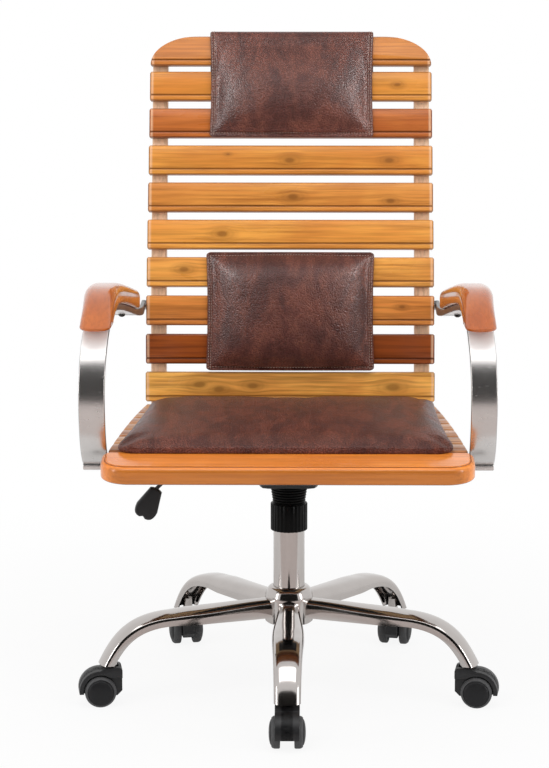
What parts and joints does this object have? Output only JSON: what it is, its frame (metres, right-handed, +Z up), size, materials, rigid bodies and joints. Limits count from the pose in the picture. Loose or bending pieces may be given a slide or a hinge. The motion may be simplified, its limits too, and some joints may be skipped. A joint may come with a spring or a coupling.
{
  "type": "swivel_chair",
  "caption": "Bankers swivel chair with a slatted wooden seat and back, leather cushions, chromed arm loops, a gas lift and a star base on twin-wheel casters",
  "frame": {"origin": "the floor point under the middle of the chair's bounding box", "axes": "+Z up, the sitter faces -Y, +X is toward the sitter's left hand"},
  "size_m": [0.67, 0.7452, 1.0293],
  "materials": {
    "chrome": "mirror-bright plating",
    "black_plastic": "fine grained black nylon",
    "tyre": "dark grey soft tread",
    "zinc_steel": "zinc plated",
    "black_steel": "black powder coat",
    "bellows_rubber": "soft folded boot",
    "honey_wood": "clear satin lacquer over knotty softwood, honey to red-brown from slat to slat",
    "red_wood": "orange-brown gloss lacquer",
    "ply_wood": "plain plywood",
    "leather": "semi-gloss pebbled reddish brown, edges stitched in a light thread"
  },
  "bodies": {
    "base": {"hub": "chrome", "leg_1": "chrome", "leg_2": "chrome", "leg_3": "chrome", "leg_4": "chrome", "leg_5": "chrome", "column_tube": "chrome", "collar": "black_plastic"},
    "rod": {"gas_rod": "zinc_steel", "bellows": "bellows_rubber"},
    "seat": {"gas_cylinder": "black_steel", "lift_plate": "black_steel", "mount_board": "ply_wood", "seat_rail_left": "honey_wood", "seat_rail_right": "honey_wood", "front_board": "red_wood", "seat_slat_1": "honey_wood", "seat_slat_2": "honey_wood", "seat_slat_3": "honey_wood", "seat_slat_4": "honey_wood", "seat_slat_5": "honey_wood", "seat_slat_6": "honey_wood", "seat_slat_7": "honey_wood", "seat_slat_8": "honey_wood", "back_rail_left": "honey_wood", "back_rail_right": "honey_wood", "back_slat_1": "honey_wood", "back_slat_2": "honey_wood", "back_slat_3": "honey_wood", "back_slat_4": "honey_wood", "back_slat_5": "honey_wood", "back_slat_6": "honey_wood", "back_slat_7": "honey_wood", "back_slat_8": "honey_wood", "back_slat_9": "honey_wood", "back_slat_10": "honey_wood", "arm_left": "chrome", "arm_right": "chrome", "arm_pad_left": "red_wood", "arm_pad_right": "red_wood", "seat_cushion": "leather", "lumbar_cushion": "leather", "headrest_cushion": "leather"},
    "lever": {"lever_rod": "black_steel", "lever_paddle": "black_plastic"},
    "caster_1": {"caster_housing_1": "black_plastic", "caster_stem_1": "zinc_steel"},
    "wheels_1": {"wheel_set_1": "tyre"},
    "caster_2": {"caster_housing_2": "black_plastic", "caster_stem_2": "zinc_steel"},
    "wheels_2": {"wheel_set_2": "tyre"},
    "caster_3": {"caster_housing_3": "black_plastic", "caster_stem_3": "zinc_steel"},
    "wheels_3": {"wheel_set_3": "tyre"},
    "caster_4": {"caster_housing_4": "black_plastic", "caster_stem_4": "zinc_steel"},
    "wheels_4": {"wheel_set_4": "tyre"},
    "caster_5": {"caster_housing_5": "black_plastic", "caster_stem_5": "zinc_steel"},
    "wheels_5": {"wheel_set_5": "tyre"}
  },
  "joints": [
    {"name": "seat_swivel", "type": "hinge", "parent": "base", "child": "rod", "pos_m": [0, -0.02519, 0.3], "axis": [0, 0, 1], "continuous": true},
    {"name": "seat_lift", "type": "slide", "parent": "rod", "child": "seat", "axis": [0, 0, 1], "range_m": [0, 0.1], "deforming": ["bellows"]},
    {"name": "lever_pull", "type": "hinge", "parent": "seat", "child": "lever", "pos_m": [-0.0475, -0.02519, 0.3677], "axis": [0, 1, 0], "range_deg": [0, 4], "stiffness_Nm_per_rad": 2, "springref_deg": -2.86},
    {"name": "caster_swivel_1", "type": "hinge", "parent": "base", "child": "caster_1", "pos_m": [0, -0.32069, 0.067], "axis": [0, 0, 1], "continuous": true},
    {"name": "wheel_roll_1", "type": "hinge", "parent": "caster_1", "child": "wheels_1", "pos_m": [0, -0.33919, 0.025], "axis": [1, 0, 0], "continuous": true},
    {"name": "caster_swivel_2", "type": "hinge", "parent": "base", "child": "caster_2", "pos_m": [0.28104, -0.11651, 0.067], "axis": [0, 0, 1], "continuous": true},
    {"name": "wheel_roll_2", "type": "hinge", "parent": "caster_2", "child": "wheels_2", "pos_m": [0.29938, -0.11892, 0.025], "axis": [0.1305, 0.9914, 0], "continuous": true},
    {"name": "caster_swivel_3", "type": "hinge", "parent": "base", "child": "caster_3", "pos_m": [0.17369, 0.21387, 0.067], "axis": [0, 0, 1], "continuous": true},
    {"name": "wheel_roll_3", "type": "hinge", "parent": "caster_3", "child": "wheels_3", "pos_m": [0.17754, 0.23197, 0.025], "axis": [-0.9781, 0.2079, 0], "continuous": true},
    {"name": "caster_swivel_4", "type": "hinge", "parent": "base", "child": "caster_4", "pos_m": [-0.17369, 0.21387, 0.067], "axis": [0, 0, 1], "continuous": true},
    {"name": "wheel_roll_4", "type": "hinge", "parent": "caster_4", "child": "wheels_4", "pos_m": [-0.17754, 0.23197, 0.025], "axis": [-0.9781, -0.2079, 0], "continuous": true},
    {"name": "caster_swivel_5", "type": "hinge", "parent": "base", "child": "caster_5", "pos_m": [-0.28104, -0.11651, 0.067], "axis": [0, 0, 1], "continuous": true},
    {"name": "wheel_roll_5", "type": "hinge", "parent": "caster_5", "child": "wheels_5", "pos_m": [-0.29938, -0.11892, 0.025], "axis": [0.1305, -0.9914, 0], "continuous": true}
  ]
}
